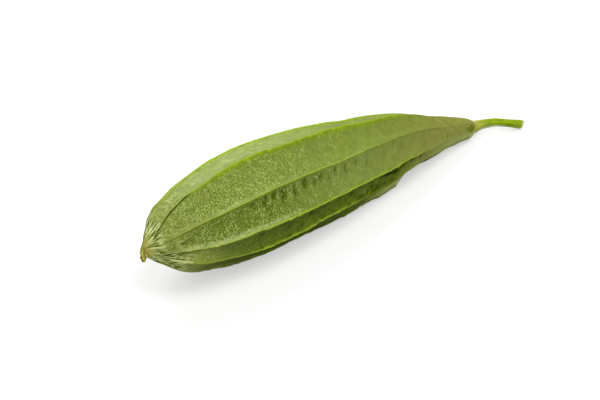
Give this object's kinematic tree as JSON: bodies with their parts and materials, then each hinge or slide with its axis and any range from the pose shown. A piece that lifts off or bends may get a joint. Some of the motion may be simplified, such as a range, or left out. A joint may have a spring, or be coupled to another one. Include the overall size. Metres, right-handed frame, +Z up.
{
  "type": "ridge gourd",
  "caption": "Ridge gourd as picked: a tapering ribbed fruit with its cut stem at the narrow end and a withered blossom at the blunt end, lying on its belly.",
  "frame": {"origin": "middle of the underside of the gourd's bounding box, on the surface that it lies on", "axes": "+X along the gourd from the blossom end to the stem, +Z up from the surface, +Y completes the right-handed set"},
  "size_m": [0.279, 0.0554, 0.0542],
  "materials": {
    "skin": "waxy green plant skin, semi-matte, with fine pale flecks and brighter ridge crests",
    "stem": "smooth fresh green stalk with a slight sheen",
    "dry_blossom": "dry, matte, papery yellow-brown"
  },
  "bodies": {
    "root": {"fruit": "skin", "stem": "stem", "blossom_remains": "dry_blossom"}
  },
  "joints": []
}
